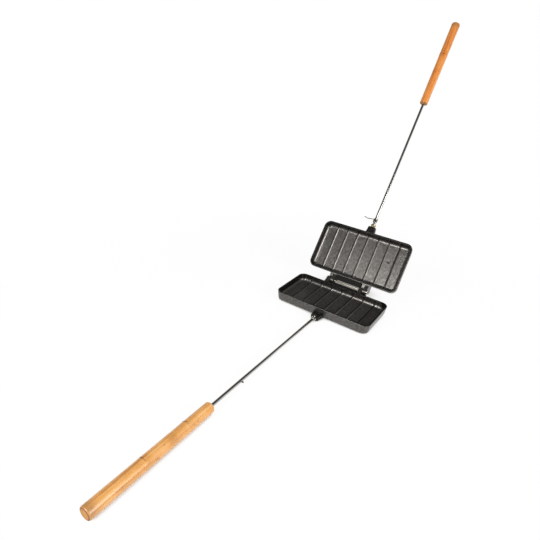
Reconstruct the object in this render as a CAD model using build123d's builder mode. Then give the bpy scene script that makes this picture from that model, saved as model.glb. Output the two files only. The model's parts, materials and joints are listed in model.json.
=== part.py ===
from build123d import *
import os
from math import acos, asin, atan2, cos, degrees, floor, hypot, pi, radians, sin, tan

# A two-sandwich pie iron of cast iron: two alike ribbed plates hinged along one long side,
# each on a steel rod with a cane handle, and a wire latch on the upper rod.
# Millimetres, +Z up. The origin is the middle of the lower plate's flat back, where it stands.
# The casting is drawn in a half frame: origin on the hinge axis, X along it, -Y towards the
# handle, Z from the plate's back towards its rim. What sits on a rod is drawn in a rod frame:
# origin at the end of the socket boss, Z along the rod, Y towards the other half.

# ---- pose ----
OPEN_ANGLE = 125.0            # how far the upper half is swung open from closed, on its stop

# ---- cast plates ----
PLATE_LENGTH = 222.0          # along the hinge, at the rim
PLATE_WIDTH = 121.0           # across the hinge, at the rim
PLATE_DEPTH = 22.0            # rim to back
PLATE_CORNER = 16.0           # plan radius of the rim's corners
OUTER_DRAFT = 8.0             # degrees, outer walls lean in towards the back
BACK_EDGE_RADIUS = 6.0
LIP_WIDTH = 4.0               # flat rim
LIP_ROUND = 0.8
CAVITY_DEPTH = 15.5           # rim to floor
INNER_DRAFT = 12.0            # degrees
COVE_RADIUS = 6.0             # between the floor and the walls
PARTING_GAP = 0.4             # between the two rims when closed

# ---- ribbed cooking face ----
RIB_PITCH = 26.6
END_STRIP_LEAST = 14.0        # narrowest strip of floor beyond the last rib
RIB_HEIGHT = 2.3              # on the floor
RIB_WALL_HEIGHT = 1.7         # where each rib runs on up the two long walls
RIB_CREST_WIDTH = 1.8
RIB_FOOT_WIDTH = 5.4
RIB_CREST_RADIUS = 0.6
RIB_BEND_RADIUS = 3.7         # of its crest, in the cove
RIB_DROP = 1.2                # it stops this far short of the rim
RIB_SUNK = 1.0                # how far its foot is let into the floor

# ---- hinge ----
HINGE_OFFSET = 16.0           # hinge axis to the near edge of the rim
BARREL_RADIUS = 6.5
LUG_INNER = 32.0              # middle of the hinge to the first lug's inner face
LUG_WIDTH = 9.0
LUG_GAP = 0.5                 # sideways, between one half's lug and the other's
FOOT_SETBACK = 6.0            # hinge axis to the heel of the lug, at the back plane
NECK_SETBACK = 1.5            # rim edge to where the lug's neck starts to rise
STOP_GAP = 0.25               # lug heel to stop shelf, fully open
WEB_THICKNESS = 5.5           # bridge between the lugs
WEB_DROP = 1.5                # bridge below the rim
WEB_PIN_GAP = 1.6             # bridge edge to pin
PIN_RADIUS = 2.5
PIN_RUNNING_CLEARANCE = 0.05
PIN_END_PLAY = 0.15
PIN_HEAD_RADIUS = 4.2
PIN_HEAD_HEIGHT = 2.4
PIN_TAIL = 4.6                # past the washer
PIN_END_CHAMFER = 0.6
HINGE_WASHER_RADIUS = 5.4
HINGE_WASHER_THICKNESS = 1.2
SPLIT_PIN_RADIUS = 0.8        # hole for both its legs
SPLIT_PIN_WIRE = 0.38
SPLIT_PIN_EYE_RADIUS = 1.5
SPLIT_PIN_TAIL = 6.0
SPLIT_PIN_SPLAY = 35.0        # degrees, each tail outwards
SPLIT_PIN_BEND_RADIUS = 1.0

# ---- rod socket ----
BOSS_LENGTH = 16.0            # past the rim's edge
BOSS_WIDTH = 18.0
BOSS_HEIGHT = 14.5
BOSS_CORNER = 4.0
BOSS_FLARE = 3.5              # extra width each side where it leaves the wall
BOSS_ROOT = 9.0               # how far the boss runs into the plate behind the rim's edge
ROD_HEIGHT = 6.8              # rod axis above the back plane, at the boss's end
SOCKET_DEPTH = 18.0
THREAD_CLEARANCE = 0.05       # round the rod in its socket, nut and handle

# ---- rods and their fastenings ----
ROD_RADIUS = 3.0
ROD_REACH = 332.0             # boss end to the front of the handle
ROD_IN_HANDLE = 90.0
ROD_END_CHAMFER = 0.6
WASHER_RADIUS = 6.2
WASHER_THICKNESS = 1.4
NUT_ACROSS_FLATS = 10.0
NUT_HEIGHT = 5.5
NUT_CHAMFER_ANGLE = 30.0
SET_SCREW_RADIUS = 2.5
SET_SCREW_INSET = 1.2         # below the boss's flank
SET_SCREW_SOCKET = 2.5        # across the flats of its hexagon socket
SET_SCREW_SOCKET_DEPTH = 2.0
SET_SCREW_BACK = 6.0          # behind the boss's end face
SET_SCREW_CHAMFER = 0.4

# ---- cane handles ----
HANDLE_LENGTH = 219.0
HANDLE_FRONT_RADIUS = 9.25
HANDLE_BUTT_RADIUS = 9.95
LOWER_HANDLE_ROUND = 4.0      # front end; the two canes are finished by hand, and differ
UPPER_HANDLE_ROUND = 1.6
HANDLE_BUTT_ROUND = 2.4
HANDLE_GAP = 2.3              # between the two butts when closed
NODE_PLACES = (53.0, 132.0)   # from the front of the handle
NODE_RISE = 0.2
NODE_HALF_LENGTH = 5.0

# ---- latch and rod stop ----
WIRE_RADIUS = 1.0
LATCH_PLACE = 14.0            # boss end to the start of the latch's coil
LATCH_CLEARANCE = 0.3         # coil to its rod, and hook to the other rod
LATCH_TURNS = 4
COIL_GAP = 0.1
LATCH_REST_TURN = 120.0       # how far the arm is turned back from hooked
LATCH_BEND_RADIUS = 2.6
LATCH_LEG = 9.5
STOP_PIN_PLACE = 257.0        # boss end to the cross pin in the lower rod
STOP_PIN_RADIUS = 1.25
STOP_PIN_PROUD = 3.0

# ---- worked out from the sizes above ----
RIM_Z = -PARTING_GAP / 2
BACK_Z = RIM_Z - PLATE_DEPTH
FLOOR_Z = RIM_Z - CAVITY_DEPTH
PLATE_CENTRE_Y = -HINGE_OFFSET - PLATE_WIDTH / 2
SOCKET_SIDE_Y = -HINGE_OFFSET - PLATE_WIDTH
BOSS_END_Y = SOCKET_SIDE_Y - BOSS_LENGTH
LUG_OUTER = LUG_INNER + LUG_WIDTH
FAR_LUG_INNER = LUG_OUTER + LUG_GAP
FAR_LUG_OUTER = FAR_LUG_INNER + LUG_WIDTH
BUTT_REACH = ROD_REACH + HANDLE_LENGTH
BOSS_AXIS_Z = BACK_Z + ROD_HEIGHT
BUTT_AXIS_Z = -(HANDLE_BUTT_RADIUS + HANDLE_GAP / 2)
ROD_RISE = degrees(asin((BUTT_AXIS_Z - BOSS_AXIS_Z) / BUTT_REACH))
BORE_RADIUS = ROD_RADIUS + THREAD_CLEARANCE
COIL_RADIUS = ROD_RADIUS + LATCH_CLEARANCE + WIRE_RADIUS
COIL_PITCH = 2 * WIRE_RADIUS + COIL_GAP
ARM_PLACE = LATCH_PLACE + LATCH_TURNS * COIL_PITCH
ARM_REACH = COIL_RADIUS - 2 * (BOSS_AXIS_Z + ARM_PLACE * sin(radians(ROD_RISE)))
WASHER_OUTER = FAR_LUG_OUTER + PIN_END_PLAY + HINGE_WASHER_THICKNESS
SET_SCREW_FLANK = BOSS_WIDTH / 2 + BOSS_FLARE * SET_SCREW_BACK / (BOSS_LENGTH + BOSS_ROOT)
SET_SCREW_LENGTH = SET_SCREW_FLANK - SET_SCREW_INSET - ROD_RADIUS
WALL_LEAN = CAVITY_DEPTH * tan(radians(INNER_DRAFT))
FLOOR_LENGTH = PLATE_LENGTH - 2 * (LIP_WIDTH + WALL_LEAN)
RIB_COUNT = 2 * floor((FLOOR_LENGTH / 2 - END_STRIP_LEAST) / RIB_PITCH) + 1
RIB_TOP_Z = RIM_Z - RIB_DROP
RIB_FLARE = (RIB_FOOT_WIDTH - RIB_CREST_WIDTH) / 2 / RIB_HEIGHT

hinge_point = Vector(0, HINGE_OFFSET + PLATE_WIDTH / 2, -BACK_Z)
lower_half = Plane(origin=hinge_point)
upper_half = Plane(
    origin=hinge_point,
    x_dir=(-1, 0, 0),
    z_dir=(0, -sin(radians(OPEN_ANGLE)), -cos(radians(OPEN_ANGLE))),
)
rim_plane = Plane(origin=(0, PLATE_CENTRE_Y, RIM_Z), z_dir=(0, 0, -1))
rod_plane = Plane(
    origin=(0, BOSS_END_Y, BOSS_AXIS_Z),
    x_dir=(1, 0, 0),
    z_dir=(0, -cos(radians(ROD_RISE)), sin(radians(ROD_RISE))),
)
set_screw_plane = Plane(
    origin=rod_plane.from_local_coords((0, 0, -SET_SCREW_BACK)), x_dir=(0, 1, 0), z_dir=(1, 0, 0)
)
hinge_axis = Axis(hinge_point, (1, 0, 0))
hinge_plane = Plane(origin=hinge_point, x_dir=(0, 1, 0), z_dir=(1, 0, 0))
hinge_profile = Plane(origin=hinge_point, x_dir=(1, 0, 0), z_dir=(0, -1, 0))
split_pin_plane = Plane(origin=hinge_point + Vector(WASHER_OUTER + SPLIT_PIN_RADIUS, 0, 0))


def tangent_angle(point, radius, side):
    """Direction, in degrees, of the foot of the tangent from a point to a circle at the origin."""
    distance = hypot(point[0], point[1])
    return degrees(atan2(point[1], point[0])) + side * degrees(acos(radius / distance))


heel = (-FOOT_SETBACK, BACK_Z)
neck = (-HINGE_OFFSET + NECK_SETBACK, RIM_Z)
HEEL_ANGLE = tangent_angle(heel, BARREL_RADIUS, 1)
NECK_ANGLE = tangent_angle(neck, BARREL_RADIUS, -1) % 360
STOP_ANGLE = -(OPEN_ANGLE + HEEL_ANGLE)


def on_barrel(angle, radius=BARREL_RADIUS):
    """Point of the hinge barrel in a side view, as (y, z)."""
    return (radius * cos(radians(angle)), radius * sin(radians(angle)))


def flat_faces(block, height):
    """Level faces of a block at one height."""
    return block.faces().filter_by(Plane.XY).filter_by_position(Axis.Z, height - 0.01, height + 0.01)


def handle_radius(reach):
    """Radius of the tapered cane at a distance from its front end."""
    return HANDLE_FRONT_RADIUS + (HANDLE_BUTT_RADIUS - HANDLE_FRONT_RADIUS) * reach / HANDLE_LENGTH


def write_on_half(piece, half, name):
    """Put a piece drawn in the rod frame on one half of the iron, and write it."""
    with BuildPart() as placed:
        with Locations(half):
            with Locations(rod_plane):
                add(piece)
    placed.part.label = name
    export_step(placed.part, f"parts/{name}.step")


os.makedirs("parts", exist_ok=True)

# ---- one rib: its crest runs down one long wall, across the floor and up the other ----
crest_half = PLATE_WIDTH / 2 - LIP_WIDTH - RIB_WALL_HEIGHT
crest_foot = crest_half - (CAVITY_DEPTH - RIB_HEIGHT) * tan(radians(INNER_DRAFT))
rib_bottom = -(RIB_HEIGHT + RIB_SUNK)
foot_half = RIB_CREST_WIDTH / 2 - rib_bottom * RIB_FLARE
with BuildPart() as rib:
    with BuildLine() as crest:
        FilletPolyline(
            (0, PLATE_CENTRE_Y - crest_half, RIM_Z),
            (0, PLATE_CENTRE_Y - crest_foot, FLOOR_Z + RIB_HEIGHT),
            (0, PLATE_CENTRE_Y + crest_foot, FLOOR_Z + RIB_HEIGHT),
            (0, PLATE_CENTRE_Y + crest_half, RIM_Z),
            radius=RIB_BEND_RADIUS,
        )
    with BuildSketch(Plane(origin=crest.line @ 0, x_dir=(-1, 0, 0), z_dir=crest.line % 0)) as section:
        with BuildLine():
            Polyline(
                (RIB_CREST_WIDTH / 2, 0),
                (foot_half, rib_bottom),
                (-foot_half, rib_bottom),
                (-RIB_CREST_WIDTH / 2, 0),
                close=True,
            )
        make_face()
        fillet(section.vertices().sort_by(Axis.Y)[-2:], RIB_CREST_RADIUS)
    sweep(path=crest.line)
    split(bisect_by=Plane(origin=(0, 0, RIB_TOP_Z), z_dir=(0, 0, -1)), keep=Keep.TOP)

# ---- one casting, drawn in the half frame ----
with BuildPart() as casting:
    # outer form, leaning in to a rounded flat back
    with BuildSketch(rim_plane):
        RectangleRounded(PLATE_LENGTH, PLATE_WIDTH, PLATE_CORNER)
    extrude(amount=PLATE_DEPTH, taper=OUTER_DRAFT)
    fillet(casting.faces().sort_by(Axis.Z)[0].edges(), BACK_EDGE_RADIUS)
    fillet(casting.faces().sort_by(Axis.Z)[-1].edges(), LIP_ROUND)

    # hinge brackets: a lug, and beside it the block that will carry the stop shelf
    for inner in (LUG_INNER, -FAR_LUG_OUTER):
        with BuildSketch(Plane.YZ.offset(inner)):
            with BuildLine():
                heel_line = Line(heel, on_barrel(HEEL_ANGLE))
                barrel = ThreePointArc(
                    heel_line @ 1, on_barrel((HEEL_ANGLE + NECK_ANGLE) / 2), on_barrel(NECK_ANGLE)
                )
                Polyline(
                    barrel @ 1,
                    neck,
                    (-HINGE_OFFSET - LIP_WIDTH, RIM_Z),
                    (-HINGE_OFFSET - 2 * PLATE_DEPTH, BACK_Z),
                    heel,
                )
            make_face()
        extrude(amount=FAR_LUG_OUTER - LUG_INNER)

    # room for the other half's lugs, down to the stop shelf that their heels land on
    shelf = BARREL_RADIUS + STOP_GAP
    shelf_slope = Vector(-sin(radians(STOP_ANGLE)), cos(radians(STOP_ANGLE)))
    shelf_middle = Vector(on_barrel(STOP_ANGLE, shelf))
    shelf_wall = shelf_middle - shelf_slope * ((HINGE_OFFSET + shelf_middle.X) / shelf_slope.X)
    shelf_end = shelf_middle + shelf_slope * (2 * BARREL_RADIUS / shelf_slope.X)
    for inner, outer in ((LUG_OUTER, FAR_LUG_OUTER), (-FAR_LUG_INNER, -LUG_INNER)):
        with BuildSketch(Plane.YZ.offset(inner)):
            with BuildLine():
                Polyline(
                    (shelf_wall.X, shelf_wall.Y),
                    (shelf_end.X, shelf_end.Y),
                    (shelf_end.X, 2 * BARREL_RADIUS),
                    (shelf_wall.X, 2 * BARREL_RADIUS),
                    close=True,
                )
            make_face()
        extrude(amount=outer - inner, mode=Mode.SUBTRACT)

    # bridge between the lugs, short of the pin
    with BuildSketch(Plane.XY.offset(RIM_Z - WEB_DROP)):
        with Locations((0, -HINGE_OFFSET - LIP_WIDTH)):
            Rectangle(
                2 * LUG_INNER,
                HINGE_OFFSET + LIP_WIDTH - PIN_RADIUS - WEB_PIN_GAP,
                align=(Align.CENTER, Align.MIN),
            )
    extrude(amount=-WEB_THICKNESS)

    # rod socket boss, flaring into the wall
    with BuildSketch(rod_plane):
        with Locations((0, BOSS_HEIGHT / 2 - ROD_HEIGHT)):
            RectangleRounded(BOSS_WIDTH, BOSS_HEIGHT, BOSS_CORNER)
    with BuildSketch(Plane(origin=(0, SOCKET_SIDE_Y + BOSS_ROOT, BACK_Z), x_dir=(1, 0, 0), z_dir=(0, -1, 0))):
        with Locations((0, BOSS_HEIGHT / 2)):
            RectangleRounded(BOSS_WIDTH + 2 * BOSS_FLARE, BOSS_HEIGHT, BOSS_CORNER)
    loft()

    # cavity, with a cove between its floor and its walls, and a softened inner edge
    with BuildSketch(rim_plane):
        RectangleRounded(
            PLATE_LENGTH - 2 * LIP_WIDTH, PLATE_WIDTH - 2 * LIP_WIDTH, PLATE_CORNER - LIP_WIDTH
        )
    extrude(amount=CAVITY_DEPTH, taper=INNER_DRAFT, mode=Mode.SUBTRACT)
    fillet(flat_faces(casting, FLOOR_Z).edges(), COVE_RADIUS)
    rim = flat_faces(casting, RIM_Z).sort_by(SortBy.AREA)[-1]
    fillet(rim.inner_wires()[0].edges(), LIP_ROUND)

    # ribs that part the floor into strips
    with GridLocations(RIB_PITCH, 1, RIB_COUNT, 1):
        add(rib.part)

    # blind rod socket, and a cross hole for its set screw
    with BuildSketch(rod_plane):
        Circle(BORE_RADIUS)
    extrude(amount=-SOCKET_DEPTH, mode=Mode.SUBTRACT)
    with BuildSketch(set_screw_plane):
        Circle(SET_SCREW_RADIUS + THREAD_CLEARANCE)
    extrude(amount=BOSS_WIDTH / 2 + BOSS_FLARE, mode=Mode.SUBTRACT)

with BuildPart() as lower_plate:
    with Locations(lower_half):
        add(casting.part)
    with BuildSketch(hinge_plane):
        Circle(PIN_RADIUS)
    extrude(amount=FAR_LUG_OUTER, both=True, mode=Mode.SUBTRACT)
lower_plate.part.label = "lower_plate"
export_step(lower_plate.part, "parts/lower_plate.step")

with BuildPart() as upper_plate:
    with Locations(upper_half):
        add(casting.part)
    with BuildSketch(hinge_plane):
        Circle(PIN_RADIUS + PIN_RUNNING_CLEARANCE)
    extrude(amount=FAR_LUG_OUTER, both=True, mode=Mode.SUBTRACT)
upper_plate.part.label = "upper_plate"
export_step(upper_plate.part, "parts/upper_plate.step")

# ---- hinge pin, its washer and split pin: the pin is fast in the lower plate's lugs ----
with BuildPart() as hinge_pin:
    with BuildSketch(hinge_profile):
        with BuildLine():
            dome = TangentArc(
                (-FAR_LUG_OUTER - PIN_HEAD_HEIGHT, 0), (-FAR_LUG_OUTER, PIN_HEAD_RADIUS), tangent=(0, 1)
            )
            Polyline(
                dome @ 1,
                (-FAR_LUG_OUTER, PIN_RADIUS),
                (WASHER_OUTER + PIN_TAIL - PIN_END_CHAMFER, PIN_RADIUS),
                (WASHER_OUTER + PIN_TAIL, PIN_RADIUS - PIN_END_CHAMFER),
                (WASHER_OUTER + PIN_TAIL, 0),
                dome @ 0,
            )
        make_face()
    revolve(axis=hinge_axis)
    with BuildSketch(split_pin_plane):
        Circle(SPLIT_PIN_RADIUS)
    extrude(amount=PIN_RADIUS, both=True, mode=Mode.SUBTRACT)
hinge_pin.part.label = "hinge_pin"
export_step(hinge_pin.part, "parts/hinge_pin.step")

with BuildPart() as hinge_washer:
    with BuildSketch(hinge_plane.offset(WASHER_OUTER - HINGE_WASHER_THICKNESS)):
        Circle(HINGE_WASHER_RADIUS)
        Circle(PIN_RADIUS + PIN_RUNNING_CLEARANCE, mode=Mode.SUBTRACT)
    extrude(amount=HINGE_WASHER_THICKNESS)
hinge_washer.part.label = "hinge_washer"
export_step(hinge_washer.part, "parts/hinge_washer.step")

# one bent leg, its twin, and the eye that joins them
leg_offset = SPLIT_PIN_RADIUS - SPLIT_PIN_WIRE
eye_height = PIN_RADIUS + SPLIT_PIN_EYE_RADIUS + SPLIT_PIN_WIRE
tail_bend = -PIN_RADIUS - SPLIT_PIN_BEND_RADIUS
eye_plane = Plane(origin=split_pin_plane.origin, x_dir=(0, 1, 0), z_dir=(1, 0, 0))
with BuildPart() as hinge_split_pin:
    with BuildLine(eye_plane) as leg:
        FilletPolyline(
            (leg_offset, eye_height - SPLIT_PIN_EYE_RADIUS),
            (leg_offset, tail_bend),
            (
                leg_offset + SPLIT_PIN_TAIL * sin(radians(SPLIT_PIN_SPLAY)),
                tail_bend - SPLIT_PIN_TAIL * cos(radians(SPLIT_PIN_SPLAY)),
            ),
            radius=SPLIT_PIN_BEND_RADIUS,
        )
    with BuildSketch(Plane(origin=leg.line @ 0, z_dir=leg.line % 0)):
        Circle(SPLIT_PIN_WIRE)
    sweep(path=leg.line)
    mirror(about=Plane(origin=split_pin_plane.origin, z_dir=(0, 1, 0)))
    with BuildSketch(split_pin_plane.offset(eye_height)):
        with Locations((0, SPLIT_PIN_EYE_RADIUS)):
            Circle(SPLIT_PIN_WIRE)
    revolve(axis=Axis(eye_plane.from_local_coords((0, eye_height, 0)), (1, 0, 0)))
hinge_split_pin.part.label = "hinge_split_pin"
export_step(hinge_split_pin.part, "parts/hinge_split_pin.step")

# ---- pieces on the rod, drawn in the rod frame ----
with BuildPart() as rod:
    with BuildSketch(Plane.XY.offset(-SOCKET_DEPTH)):
        Circle(ROD_RADIUS)
    extrude(amount=SOCKET_DEPTH + ROD_REACH + ROD_IN_HANDLE)
    chamfer(rod.edges().filter_by(GeomType.CIRCLE), ROD_END_CHAMFER)

# hexagon nut: its corners are turned off at both faces
nut_corner = NUT_ACROSS_FLATS / 2 / cos(radians(30))
nut_chamfer = (nut_corner - NUT_ACROSS_FLATS / 2) * tan(radians(NUT_CHAMFER_ANGLE))
with BuildPart() as lock_nut:
    with BuildSketch():
        RegularPolygon(NUT_ACROSS_FLATS / 2, 6, major_radius=False)
    extrude(amount=NUT_HEIGHT)
    with BuildSketch(Plane.XZ):
        with BuildLine():
            Polyline(
                (0, 0),
                (NUT_ACROSS_FLATS / 2, 0),
                (nut_corner, nut_chamfer),
                (nut_corner, NUT_HEIGHT - nut_chamfer),
                (NUT_ACROSS_FLATS / 2, NUT_HEIGHT),
                (0, NUT_HEIGHT),
                close=True,
            )
        make_face()
    revolve(axis=Axis.Z, mode=Mode.INTERSECT)
    with BuildSketch():
        Circle(BORE_RADIUS)
    extrude(amount=NUT_HEIGHT, mode=Mode.SUBTRACT)

with BuildPart() as latch_washer:
    with BuildSketch(Plane.XY.offset(NUT_HEIGHT)):
        Circle(WASHER_RADIUS)
        Circle(BORE_RADIUS, mode=Mode.SUBTRACT)
    extrude(amount=WASHER_THICKNESS)

# headless screw with a hexagon socket, its tip bearing on the rod
with BuildPart() as set_screw:
    with BuildSketch(Plane.YZ.offset(ROD_RADIUS)):
        with Locations((0, -SET_SCREW_BACK)):
            Circle(SET_SCREW_RADIUS)
    extrude(amount=SET_SCREW_LENGTH)
    chamfer(set_screw.edges().filter_by(GeomType.CIRCLE), SET_SCREW_CHAMFER)
    with BuildSketch(Plane.YZ.offset(ROD_RADIUS + SET_SCREW_LENGTH)):
        with Locations((0, -SET_SCREW_BACK)):
            RegularPolygon(SET_SCREW_SOCKET / 2, 6, major_radius=False)
    extrude(amount=-SET_SCREW_SOCKET_DEPTH, mode=Mode.SUBTRACT)

with BuildPart() as rod_stop_pin:
    with BuildSketch(Plane.YZ.offset(-ROD_RADIUS)):
        with Locations((0, STOP_PIN_PLACE)):
            Circle(STOP_PIN_RADIUS)
    extrude(amount=2 * ROD_RADIUS + STOP_PIN_PROUD)

# one wire: a coil round the upper rod, then an arm and a bent end that hook over the lower rod
arm_slope = COIL_PITCH / (2 * pi * COIL_RADIUS)
with BuildPart() as latch_hook:
    with BuildLine() as coil:
        Helix(COIL_PITCH, LATCH_TURNS * COIL_PITCH, COIL_RADIUS, center=(0, 0, LATCH_PLACE))
    with BuildSketch(Plane(origin=coil.line @ 0, z_dir=coil.line % 0)):
        Circle(WIRE_RADIUS)
    sweep(path=coil.line, is_frenet=True)
    with BuildLine() as arm:
        FilletPolyline(
            (COIL_RADIUS, 0, ARM_PLACE),
            (COIL_RADIUS, ARM_REACH, ARM_PLACE + ARM_REACH * arm_slope),
            (COIL_RADIUS - LATCH_LEG, ARM_REACH, ARM_PLACE + ARM_REACH * arm_slope),
            radius=LATCH_BEND_RADIUS,
        )
    with BuildSketch(Plane(origin=arm.line @ 0, z_dir=arm.line % 0)):
        Circle(WIRE_RADIUS)
    sweep(path=arm.line)

# ---- the rod pieces, put on the lower and the upper half ----
for half_name, half, front_round in (
    ("lower", lower_half, LOWER_HANDLE_ROUND),
    ("upper", upper_half, UPPER_HANDLE_ROUND),
):
    # cane handle: a slow taper with a swelling at each node, bored for the rod
    with BuildPart() as handle:
        with BuildSketch(Plane.XZ):
            with BuildLine():
                line_end = Line((0, ROD_REACH), (handle_radius(0), ROD_REACH)) @ 1
                for node in NODE_PLACES:
                    foot = node - NODE_HALF_LENGTH
                    top = node + NODE_HALF_LENGTH
                    Line(line_end, (handle_radius(foot), ROD_REACH + foot))
                    ThreePointArc(
                        (handle_radius(foot), ROD_REACH + foot),
                        (handle_radius(node) + NODE_RISE, ROD_REACH + node),
                        (handle_radius(top), ROD_REACH + top),
                    )
                    line_end = (handle_radius(top), ROD_REACH + top)
                Polyline(
                    line_end,
                    (handle_radius(HANDLE_LENGTH), BUTT_REACH),
                    (0, BUTT_REACH),
                    (0, ROD_REACH),
                )
            make_face()
        revolve(axis=Axis.Z)
        end_edges = handle.edges().filter_by(GeomType.CIRCLE).sort_by(Axis.Z)
        fillet(end_edges[0], front_round)
        fillet(end_edges[-1], HANDLE_BUTT_ROUND)
        with BuildSketch(Plane.XY.offset(ROD_REACH)):
            Circle(BORE_RADIUS)
        extrude(amount=ROD_IN_HANDLE, mode=Mode.SUBTRACT)

    write_on_half(handle.part, half, f"{half_name}_handle")
    write_on_half(lock_nut.part, half, f"{half_name}_lock_nut")
    write_on_half(set_screw.part, half, f"{half_name}_set_screw")

with BuildPart() as lower_rod:
    add(rod.part)
    add(rod_stop_pin.part, mode=Mode.SUBTRACT)
write_on_half(lower_rod.part, lower_half, "lower_rod")
write_on_half(rod_stop_pin.part, lower_half, "rod_stop_pin")
write_on_half(rod.part, upper_half, "upper_rod")
write_on_half(latch_washer.part, upper_half, "latch_washer")
with BuildPart() as latch_at_rest:
    with Locations(Rotation(0, 0, -LATCH_REST_TURN)):
        add(latch_hook.part)
write_on_half(latch_at_rest.part, upper_half, "latch_hook")
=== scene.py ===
"""Looks of a two-sandwich cast-iron pie iron, dressed around its fixed frame.

The iron stands open. Each half is a ribbed iron tray on a steel rod with a cane handle. Lengths in
the dataclasses are millimetres, and become metres where a mesh or a pattern is made.
"""
from __future__ import annotations

import json
import logging
import math
from dataclasses import dataclass
from enum import Enum
from typing import Any

import bpy
from mathutils import Euler, Matrix, Vector


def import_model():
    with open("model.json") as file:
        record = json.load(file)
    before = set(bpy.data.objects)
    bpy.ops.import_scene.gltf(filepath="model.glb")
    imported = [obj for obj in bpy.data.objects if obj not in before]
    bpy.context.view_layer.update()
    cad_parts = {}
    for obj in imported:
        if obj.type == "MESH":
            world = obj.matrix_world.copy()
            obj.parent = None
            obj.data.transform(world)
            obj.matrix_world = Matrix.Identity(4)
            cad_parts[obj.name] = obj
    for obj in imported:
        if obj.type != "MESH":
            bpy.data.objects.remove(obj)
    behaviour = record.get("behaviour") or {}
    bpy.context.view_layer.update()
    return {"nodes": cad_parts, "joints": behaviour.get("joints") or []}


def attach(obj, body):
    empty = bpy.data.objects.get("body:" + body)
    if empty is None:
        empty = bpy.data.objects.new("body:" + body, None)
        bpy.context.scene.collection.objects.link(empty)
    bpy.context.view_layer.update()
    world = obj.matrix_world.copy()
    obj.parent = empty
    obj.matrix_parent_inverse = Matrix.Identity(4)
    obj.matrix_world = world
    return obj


LOG = logging.getLogger("pie_iron")
MM = 0.001
IMAGE_WIDTH_PX = 540.0
WHITE = (1.0, 1.0, 1.0, 1.0)

# Sockets of a Mix node that is set to mix colours
MIX_FACTOR, MIX_FIRST, MIX_SECOND, MIX_RESULT = 0, 6, 7, 2

Tree = bpy.types.NodeTree
Socket = bpy.types.NodeSocket
Material = bpy.types.Material
Piece = bpy.types.Object
Pair = tuple[float, float]
Triple = tuple[float, float, float]


# -------- small helpers


def linear(hex_colour: str) -> tuple[float, float, float, float]:
    """Turn an sRGB hex colour into linear RGBA.

    Args:
        hex_colour: a colour such as "#a0b0c0".

    Returns:
        The linear red, green, blue and an alpha of 1.
    """
    channels = []
    for start in (1, 3, 5):
        value = int(hex_colour[start:start + 2], 16) / 255.0
        channels.append(value / 12.92 if value <= 0.04045 else ((value + 0.055) / 1.055) ** 2.4)
    return (*channels, 1.0)


def add_node(
    tree: Tree,
    kind: str,
    inputs: dict[Any, Any] | None = None,
    stops: tuple[tuple[float, str], ...] = (),
    **settings: Any,
) -> bpy.types.Node:
    """Add one node to a tree, with its settings and links.

    Args:
        tree: the node tree.
        kind: the node's type name, without the ShaderNode that each one starts with.
        inputs: socket name or number, to a value or to the socket that feeds it.
        stops: position and hex colour of each stop of a colour ramp.
        settings: properties of the node.

    Returns:
        The new node.
    """
    node = tree.nodes.new(f"ShaderNode{kind}")
    for name, value in settings.items():
        setattr(node, name, value)
    for name, value in (inputs or {}).items():
        if isinstance(value, Socket):
            tree.links.new(value, node.inputs[name])
        else:
            node.inputs[name].default_value = value
    for index, (position, colour) in enumerate(stops):
        elements = node.color_ramp.elements
        element = elements[index] if index < 2 else elements.new(position)
        element.position = position
        element.color = linear(colour)
    return node


def between(ends: Pair, unit: float = 1.0) -> dict[str, float]:
    """Give a Map Range node the ends of the zone that it reads.

    Args:
        ends: where the zone starts and where it ends.
        unit: the unit of both.

    Returns:
        The node's inputs.
    """
    return {"From Min": ends[0] * unit, "From Max": ends[1] * unit}


def deselect_all() -> None:
    """Deselect every object, the fixed frame's nodes among them."""
    if bpy.context.object is not None and bpy.context.object.mode != "OBJECT":
        bpy.ops.object.mode_set(mode="OBJECT")
    bpy.ops.object.select_all(action="DESELECT")


def settle(piece: Piece, name: str, place: Matrix, body: str) -> Piece:
    """Move a new piece's mesh to its place, and let it ride on a body.

    Args:
        piece: the new object, modelled at the origin.
        name: the piece's name.
        place: where its own frame stands in the object's frame.
        body: the body that it rides on.

    Returns:
        The same object.
    """
    deselect_all()
    piece.name = name
    piece.data.name = name
    piece.matrix_world = place
    bpy.context.view_layer.objects.active = piece
    piece.select_set(True)
    bpy.ops.object.transform_apply(location=True, rotation=True, scale=True)
    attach(piece, body)
    return piece


def dress(piece: Piece, material: Material) -> None:
    """Give a piece one material.

    Args:
        piece: the node or new piece.
        material: its material.
    """
    piece.data.materials.clear()
    piece.data.materials.append(material)
    LOG.info("%s: %s", piece.name, material.name)


# -------- where things stand


@dataclass(frozen=True)
class Sizes:
    """The sizes of the iron that its finishes and small pieces follow."""

    hinge_to_rim: float = 16.0
    plate_length: float = 222.0
    lip_width: float = 4.0
    plate_width: float = 121.0
    plate_depth: float = 22.2
    tray_floor: float = 15.7
    opening_corner: float = 12.0
    outer_draft: float = 8.0  # degrees
    rib_pitch: float = 26.6
    boss_length: float = 16.0
    rod_height: float = 6.8
    rod_radius: float = 3.0
    rod_reach: float = 332.0
    rod_rise_degrees: float = 0.4471
    handle_length: float = 219.0
    handle_front_radius: float = 9.25
    handle_butt_radius: float = 9.95
    node_places: Pair = (53.0, 132.0)
    node_rise: float = 0.2
    nut_height: float = 5.5
    washer_thickness: float = 1.4


class Half(Enum):
    """The two halves of the iron, and the body that each one is."""

    LOWER = "lower"
    UPPER = "upper"

    @property
    def body(self) -> str:
        """Name of the half's body."""
        return f"{self.value}_half"


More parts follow.
